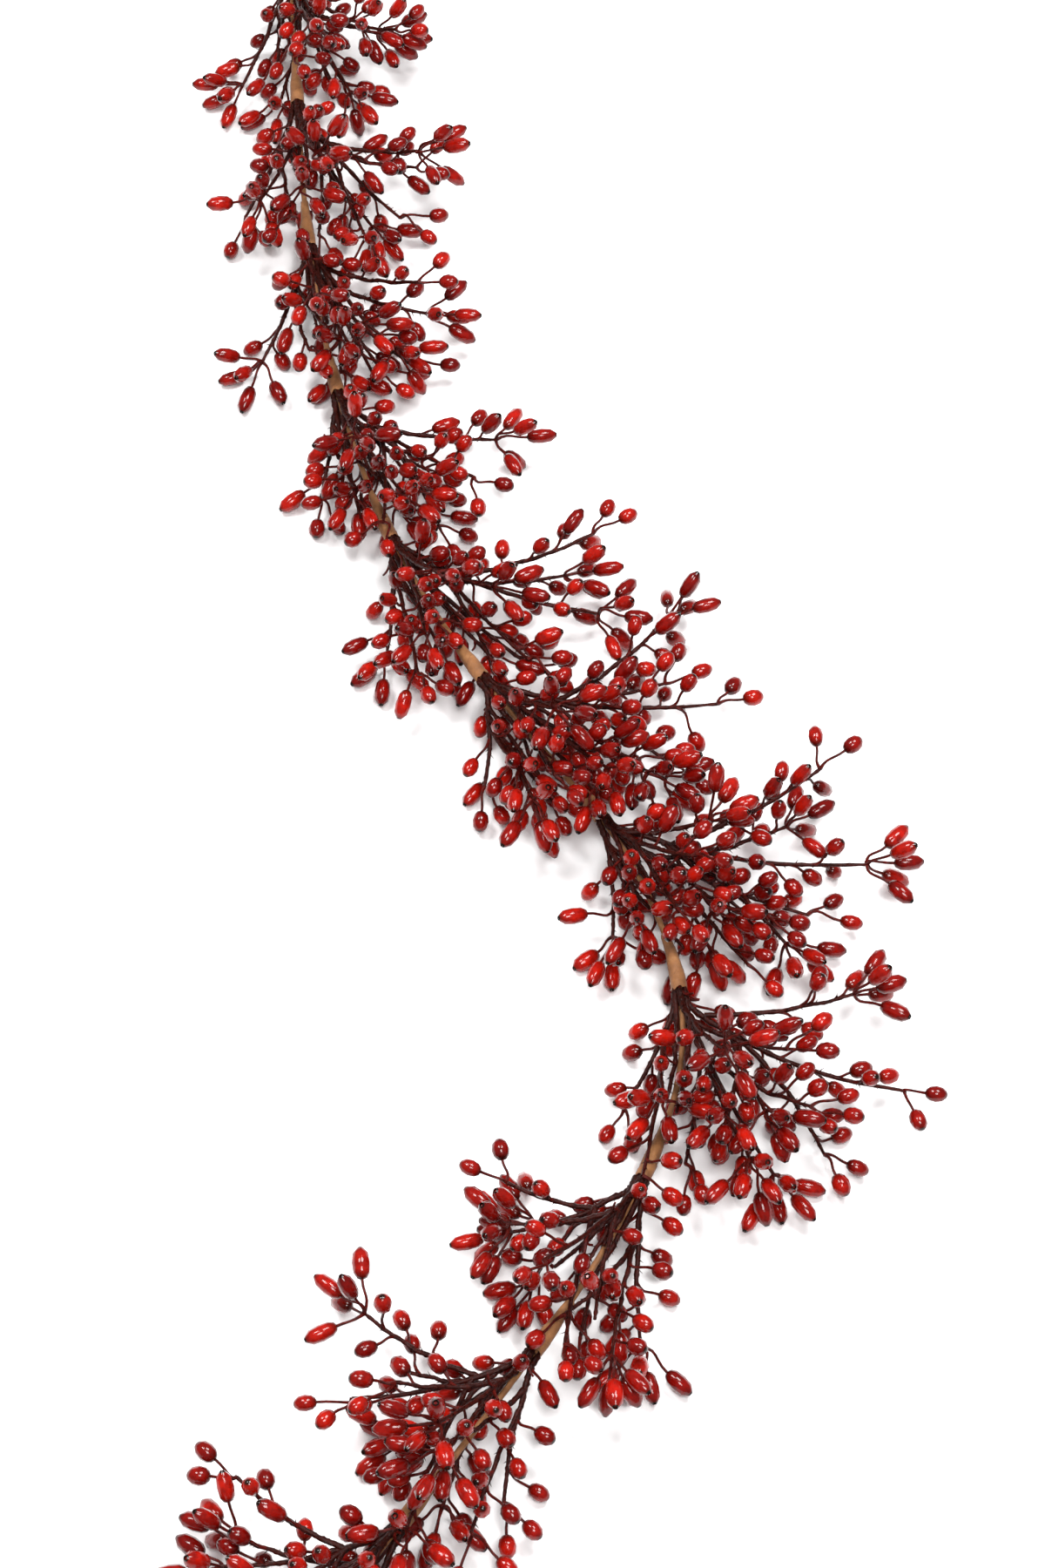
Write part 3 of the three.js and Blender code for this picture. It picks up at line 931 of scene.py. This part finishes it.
def finish_piece(piece, material, slot_name, *nodes):
    """Every piece is shaded smooth, rides the one body, and replaces the solids it stands for."""
    keep_above_floor(piece.data)
    piece.data.materials.append(material)
    bpy.ops.object.select_all(action="DESELECT")
    piece.select_set(True)
    bpy.context.view_layer.objects.active = piece
    bpy.ops.object.shade_smooth_by_angle(angle=math.radians(SMOOTH_ANGLE))
    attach(piece, "root")
    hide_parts(*nodes)


def build_sprig(n, sprig, bark, hip_skin):
    node = f"sprig_{n + 1:02d}"
    curves = [limb_curve(limb) for limb in sprig["limbs"]]
    twigs = Skin("thick")
    for limb, curve in zip(sprig["limbs"], curves):
        add_limb(twigs, limb, curve)
    for hip in sprig["hips"]:
        add_stalk(twigs, hip_stalk(curves[hip["limb"]], hip), STALK_NECK)
    for bare in sprig["bare"]:
        add_stalk(twigs, bare_stalk(curves[bare["limb"]], bare), STALK_RADIUS)
    finish_piece(twigs.make(f"twigs_{n + 1:02d}"), bark, "sprig", node)
    hips = Skin("along", "tone")
    for hip in sprig["hips"]:
        add_hip(hips, hip)
    finish_piece(hips.make(f"hips_{n + 1:02d}"), hip_skin, "sprig", node)


# ---- The wrapped wire ----

STEM_STEP = 1.5
STEM_SIDES = 14
TAPE_PITCH = 9.0
TAPE_LIP = 0.16
STEM_CREASE = 0.05


def tape_height(travel, angles, pitch):
    """How far up its overlap a winding of tape is, from 0 just past an edge to 1 at the next."""
    turns = travel[:, None] / pitch + angles[None, :] / (2 * math.pi)
    return turns - np.floor(turns)


def build_stem(paper):
    count = round(WIRE_LENGTH / STEM_STEP)
    travel = np.linspace(0, WIRE_LENGTH, count + 1)
    path = np.array([beside_wire(s, 0, 0) for s in travel])
    angles = 2 * math.pi * np.arange(STEM_SIDES) / STEM_SIDES
    wound = tape_height(travel, angles, TAPE_PITCH)
    radii = WIRE_RADIUS - TAPE_LIP + TAPE_LIP * wound
    radii += rng.uniform(-STEM_CREASE, STEM_CREASE, radii.shape)
    points, faces = tube(path, radii, STEM_SIDES)
    skin = Skin("wound")
    skin.add(points, faces, wound=wound.ravel())
    finish_piece(skin.make("wrapped_wire"), paper, "tape", "main_stem")


# ---- The paper sleeves ----

SLEEVE_SIDES = 26
SLEEVE_RINGS = 34
SLEEVE_TAPE_PITCH = 15.0
SLEEVE_TAPE_LIP = 0.28
SLEEVE_WRINKLE = 0.14
SLEEVE_CREASE = 0.05
PAPER_THICKNESS = 0.35
TAPER_START = SLEEVE_STRAIGHT * 0.5
NECK_WALL = SLEEVE_WALL * 0.4
MOUTH_UNEVEN = 2.2
MOUTH_STRAY = 0.15
# How many times the mouth's edge and the folds wave around the sleeve, and how far the folds'
# waves shift from its mouth to its neck, in radians.
MOUTH_WAVES = (2, 3)
FOLD_WAVES = (5, 9)
FOLD_SHIFTS = (3, 5)


def sleeve_radius(back):
    """The sleeve's outer radius at a distance back from its mouth."""
    taper = np.clip((back - TAPER_START) / (SLEEVE_LENGTH - TAPER_START), 0, 1)
    ease = taper * taper * (3 - 2 * taper)
    mouth = SLEEVE_MOUTH + SLEEVE_WALL - PAPER_THICKNESS
    return mouth + (SLEEVE_NECK + NECK_WALL - mouth) * ease


def sleeve_rings(j):
    """Distances back from the mouth and the outer radii, for each ring and side."""
    angles = 2 * math.pi * np.arange(SLEEVE_SIDES) / SLEEVE_SIDES
    share = np.linspace(0, 1, SLEEVE_RINGS)[:, None]
    broad, narrow = MOUTH_WAVES
    ragged = 0.5 + 0.5 * np.sin(angles * broad + j) * np.cos(angles * narrow - 2 * j)
    ragged = ragged + rng.uniform(-MOUTH_STRAY, MOUTH_STRAY, SLEEVE_SIDES)
    back = MOUTH_UNEVEN * ragged * (1 - share) ** 2 + SLEEVE_LENGTH * share
    radius = sleeve_radius(back)
    wound = tape_height(SLEEVE_LENGTH * share[:, 0], angles + j, SLEEVE_TAPE_PITCH)
    folds = np.sin(FOLD_WAVES[0] * angles + FOLD_SHIFTS[0] * share + j)
    folds = folds * np.sin(FOLD_WAVES[1] * angles - FOLD_SHIFTS[1] * share)
    radius = radius - SLEEVE_TAPE_LIP * (1 - wound) + SLEEVE_WRINKLE * folds
    radius = radius + rng.uniform(-SLEEVE_CREASE, SLEEVE_CREASE, radius.shape)
    return angles, back, radius, wound


def sleeve_points(j, angles, back, radius):
    points = []
    for ring in range(len(back)):
        for k, angle in enumerate(angles):
            side = radius[ring, k] * math.cos(angle)
            rise = radius[ring, k] * math.sin(angle)
            points.append(beside_wire(joint_at(j) - back[ring, k], side, rise))
    return points


def build_sleeve(j, paper):
    """A rolled sheet: an outer wall from neck to mouth, and an inner wall back to the neck."""
    angles, back, radius, wound = sleeve_rings(j)
    inner = np.minimum(radius, SLEEVE_MOUTH + SLEEVE_WALL) - PAPER_THICKNESS
    points = sleeve_points(j, angles, back[::-1], radius[::-1])
    points += sleeve_points(j, angles, back, inner)
    rings = 2 * SLEEVE_RINGS
    faces = []
    for r in range(rings):
        for k in range(SLEEVE_SIDES):
            a = r * SLEEVE_SIDES + k
            b = r * SLEEVE_SIDES + (k + 1) % SLEEVE_SIDES
            c = (r + 1) % rings * SLEEVE_SIDES
            faces.append((a, b, c + (k + 1) % SLEEVE_SIDES, c + k))
    skin = Skin("wound")
    skin.add(points, faces, wound=np.concatenate([wound[::-1].ravel(), wound.ravel()]))
    finish_piece(skin.make(f"paper_sleeve_{j + 1:02d}"), paper, "tape", f"tape_wrap_{j + 1:02d}")


# ---- Materials, for meshes in metres ----

# The sockets of a Mix node that mixes colours.
MIX_FACTOR = 0
MIX_FIRST = 6
MIX_SECOND = 7
MIX_RESULT = 2
# Where most of a noise's values lie.
NOISE_SPAN = (0.3, 0.7)
SPECK_COLOUR = (0.03, 0.005, 0.004, 1)
DUST_COLOUR = (0.10, 0.035, 0.024, 1)
FIBRE_COLOUR = (0.14, 0.055, 0.019, 1)


class Nodes:
    """A material's nodes, made and joined by short calls."""

    def __init__(self, name):
        self.material = bpy.data.materials.new(name)
        self.material.use_nodes = True
        self.tree = self.material.node_tree
        self.shader = self.tree.nodes["Principled BSDF"]

    def add(self, kind, inputs=None, **settings):
        node = self.tree.nodes.new(kind)
        for name, value in settings.items():
            setattr(node, name, value)
        for name, value in (inputs or {}).items():
            self.set(node.inputs[name], value)
        return node

    def set(self, socket, value):
        if isinstance(value, bpy.types.NodeSocket):
            self.tree.links.new(value, socket)
        else:
            socket.default_value = value

    def value(self, name):
        return self.add("ShaderNodeAttribute", attribute_name=name).outputs["Fac"]

    def noise(self, scale, detail=4.0, roughness=0.55):
        place = self.add("ShaderNodeTexCoord").outputs["Object"]
        inputs = {"Vector": place, "Scale": scale, "Detail": detail, "Roughness": roughness}
        return self.add("ShaderNodeTexNoise", inputs).outputs["Fac"]

    def ramp(self, fac, *stops):
        node = self.add("ShaderNodeValToRGB", {"Fac": fac})
        elements = node.color_ramp.elements
        while len(elements) < len(stops):
            elements.new(0.5)
        for element, (place, colour) in zip(elements, stops):
            element.position = place
            element.color = (*colour, 1)
        return node.outputs["Color"]

    def mix(self, fac, a, b, how="MIX"):
        node = self.add("ShaderNodeMix", data_type="RGBA", blend_type=how)
        self.set(node.inputs[MIX_FACTOR], fac)
        self.set(node.inputs[MIX_FIRST], a)
        self.set(node.inputs[MIX_SECOND], b)
        return node.outputs[MIX_RESULT]

    def range(self, value, low, high, to_low, to_high):
        inputs = {"Value": value, "From Min": low, "From Max": high}
        inputs.update({"To Min": to_low, "To Max": to_high})
        return self.add("ShaderNodeMapRange", inputs).outputs["Result"]

    def bump(self, height, strength, distance, normal=None):
        inputs = {"Height": height, "Strength": strength, "Distance": distance}
        if normal is not None:
            inputs["Normal"] = normal
        return self.add("ShaderNodeBump", inputs).outputs["Normal"]

    def finish(self, colour, roughness, normal, **constants):
        self.set(self.shader.inputs["Base Color"], colour)
        self.set(self.shader.inputs["Roughness"], roughness)
        self.set(self.shader.inputs["Normal"], normal)
        for name, value in constants.items():
            self.shader.inputs[name.replace("_", " ")].default_value = value
        return self.material


def hip_skin_material():
    """Glossy red with painted shade darkening it towards the stalk and towards the crown, nearly
    black at the crown itself, clouded and lightly specked.
    """
    nodes = Nodes("glossy_hip_skin")
    along = nodes.value("along")
    # Painted shade: the red darkens towards the stalk and towards the crown. From 0.5 on, the
    # near-black is the crown's own colour.
    red_with_painted_end_shade = nodes.ramp(
        along,
        (0.00, (0.045, 0.002, 0.001)),
        (0.04, (0.130, 0.003, 0.001)),
        (0.14, (0.290, 0.004, 0.002)),
        (0.32, (0.350, 0.005, 0.002)),
        (0.44, (0.270, 0.004, 0.002)),
        (0.53, (0.110, 0.003, 0.001)),
        (0.63, (0.012, 0.003, 0.002)),
    )
    tone = nodes.ramp(nodes.value("tone"), (0, (0.45, 0.4, 0.4)), (1, (1.2, 1.6, 1.2)))
    red_with_painted_end_shade = nodes.mix(1.0, red_with_painted_end_shade, tone, "MULTIPLY")
    cloud = nodes.ramp(nodes.noise(230.0), (0.34, (0.45, 0.35, 0.4)), (0.6, (1.0, 1.0, 1.0)))
    red_with_painted_end_shade = nodes.mix(0.75, red_with_painted_end_shade, cloud, "MULTIPLY")
    specks = nodes.range(nodes.noise(1300.0, 2.0), 0.64, 0.72, 0.0, 0.85)
    red_with_painted_end_shade = nodes.mix(specks, red_with_painted_end_shade, SPECK_COLOUR)
    fine = nodes.noise(900.0, 3.0)
    roughness = nodes.range(fine, *NOISE_SPAN, 0.1, 0.19)
    dents = nodes.bump(nodes.noise(260.0, 2.0), 0.4, 0.0007)
    normal = nodes.bump(fine, 0.14, 0.0003, dents)
    return nodes.finish(
        red_with_painted_end_shade, roughness, normal, Coat_Weight=0.2, Coat_Roughness=0.04, IOR=1.33
    )


def bark_material():
    """Maroon on the stalks and nearly black on the thick twigs, ridged and dusty."""
    nodes = Nodes("dark_twig_bark")
    thick = nodes.value("thick")
    tint = nodes.ramp(
        thick,
        (0.2, (0.066, 0.0045, 0.003)),
        (0.45, (0.032, 0.0035, 0.002)),
        (0.9, (0.017, 0.003, 0.0018)),
    )
    patches = nodes.ramp(nodes.noise(420.0), (0.35, (0.5, 0.45, 0.45)), (0.65, (1.5, 1.35, 1.3)))
    colour = nodes.mix(1.0, tint, patches, "MULTIPLY")
    dust = nodes.range(nodes.noise(1500.0, 2.0), 0.62, 0.72, 0.0, 0.35)
    colour = nodes.mix(dust, colour, DUST_COLOUR)
    roughness = nodes.range(nodes.noise(700.0), *NOISE_SPAN, 0.2, 0.45)
    ridges = nodes.bump(nodes.noise(650.0, 5.0), 0.7, 0.0008)
    normal = nodes.bump(nodes.noise(2200.0, 3.0), 0.35, 0.0003, ridges)
    return nodes.finish(colour, roughness, normal, Specular_IOR_Level=0.1)


def paper_material():
    """Tan crepe paper with painted shade: a dark line just under the edge where each winding laps the
    last.
    """
    nodes = Nodes("tan_crepe_paper")
    wound = nodes.value("wound")
    sheet = nodes.ramp(
        nodes.noise(120.0, 6.0, 0.65),
        (0.3, (0.165, 0.062, 0.017)),
        (0.55, (0.255, 0.102, 0.029)),
        (0.75, (0.340, 0.152, 0.048)),
    )
    # Painted shade: darkest just past each winding's edge, at the foot of its step, and a little
    # darker on the edge itself.
    lap = nodes.ramp(
        wound,
        (0.0, (0.42, 0.36, 0.32)),
        (0.07, (0.9, 0.88, 0.86)),
        (0.85, (1.05, 1.05, 1.05)),
        (1.0, (0.85, 0.8, 0.75)),
    )
    colour = nodes.mix(1.0, sheet, lap, "MULTIPLY")
    fibre = nodes.noise(1700.0, 3.0)
    colour = nodes.mix(nodes.range(fibre, 0.55, 0.8, 0.0, 0.5), colour, FIBRE_COLOUR)
    roughness = nodes.range(nodes.noise(500.0), *NOISE_SPAN, 0.55, 0.8)
    crease = nodes.bump(nodes.noise(380.0, 5.0, 0.7), 0.6, 0.0009)
    normal = nodes.bump(fibre, 0.4, 0.0003, crease)
    return nodes.finish(colour, roughness, normal, Sheen_Weight=0.1)


def floor_material():
    nodes = Nodes("plain_white_floor")
    colour = nodes.ramp(nodes.noise(3.0), (0.3, (0.92, 0.92, 0.92)), (0.7, (0.94, 0.94, 0.94)))
    roughness = nodes.range(nodes.noise(40.0), *NOISE_SPAN, 0.8, 0.9)
    normal = nodes.bump(nodes.noise(900.0), 0.02, 0.0002)
    return nodes.finish(colour, roughness, normal, Specular_IOR_Level=0.1)


# ---- Floor, lights and camera, in metres and watts ----

FLOOR_SIZE = 40.0
FLOOR_CUTS = 3
FLOOR_DROP = 0.0004
WORLD_STRENGTH = 0.28
# Place, size and power of each soft light.
LIGHTS = {
    "key_light": ((0.7, 0.5, 2.6), 0.9, 62),
    "left_light": ((-1.0, 0.3, 2.4), 0.7, 42),
    "front_light": ((0.2, -1.2, 2.3), 0.8, 44),
}
LENS = 85
SENSOR = 36
CAMERA_ELEVATION = 57
CAMERA_DISTANCE = 2.125
CAMERA_TARGET = Vector((-0.007, -0.056, 0))


def build_floor():
    bpy.ops.object.select_all(action="DESELECT")
    bpy.ops.mesh.primitive_plane_add(size=FLOOR_SIZE, location=(0, 0, 0))
    floor = bpy.context.object
    floor.name = "floor"
    start_edit()
    bpy.ops.mesh.select_all(action="SELECT")
    bpy.ops.mesh.subdivide(number_cuts=FLOOR_CUTS)
    bpy.ops.transform.translate(value=(0, 0, -FLOOR_DROP))
    leave_edit()
    floor.data.materials.append(floor_material())


def add_soft_light(name, place, size, power):
    light = bpy.data.lights.new(name, "AREA")
    light.shape = "SQUARE"
    light.size = size
    light.energy = power
    lamp = bpy.data.objects.new(name, light)
    lamp.location = place
    lamp.rotation_euler = (-Vector(place)).to_track_quat("-Z", "Y").to_euler()
    bpy.context.scene.collection.objects.link(lamp)


def light_world():
    world = bpy.data.worlds.new("pale_studio")
    world.use_nodes = True
    background = world.node_tree.nodes["Background"]
    background.inputs["Color"].default_value = (1, 1, 1, 1)
    background.inputs["Strength"].default_value = WORLD_STRENGTH
    bpy.context.scene.world = world


def place_camera():
    lens = bpy.data.cameras.new("camera")
    lens.lens = LENS
    lens.sensor_width = SENSOR
    lens.sensor_fit = "AUTO"
    camera = bpy.data.objects.new("camera", lens)
    tilt = math.radians(CAMERA_ELEVATION)
    away = Vector((0, -math.cos(tilt), math.sin(tilt)))
    camera.location = CAMERA_TARGET + away * CAMERA_DISTANCE
    camera.rotation_euler = (-away).to_track_quat("-Z", "Y").to_euler()
    bpy.context.scene.collection.objects.link(camera)
    bpy.context.scene.camera = camera


# ---- The whole scene ----


paper = paper_material()
build_stem(paper)
for j in range(len(JOINTS)):
    build_sleeve(j, paper)
bark = bark_material()
hip_skin = hip_skin_material()
for n, sprig in enumerate(SPRIGS):
    build_sprig(n, sprig, bark, hip_skin)
build_floor()
for name, (place, size, power) in LIGHTS.items():
    add_soft_light(name, place, size, power)
light_world()
place_camera()
bpy.context.scene.view_settings.view_transform = "Standard"
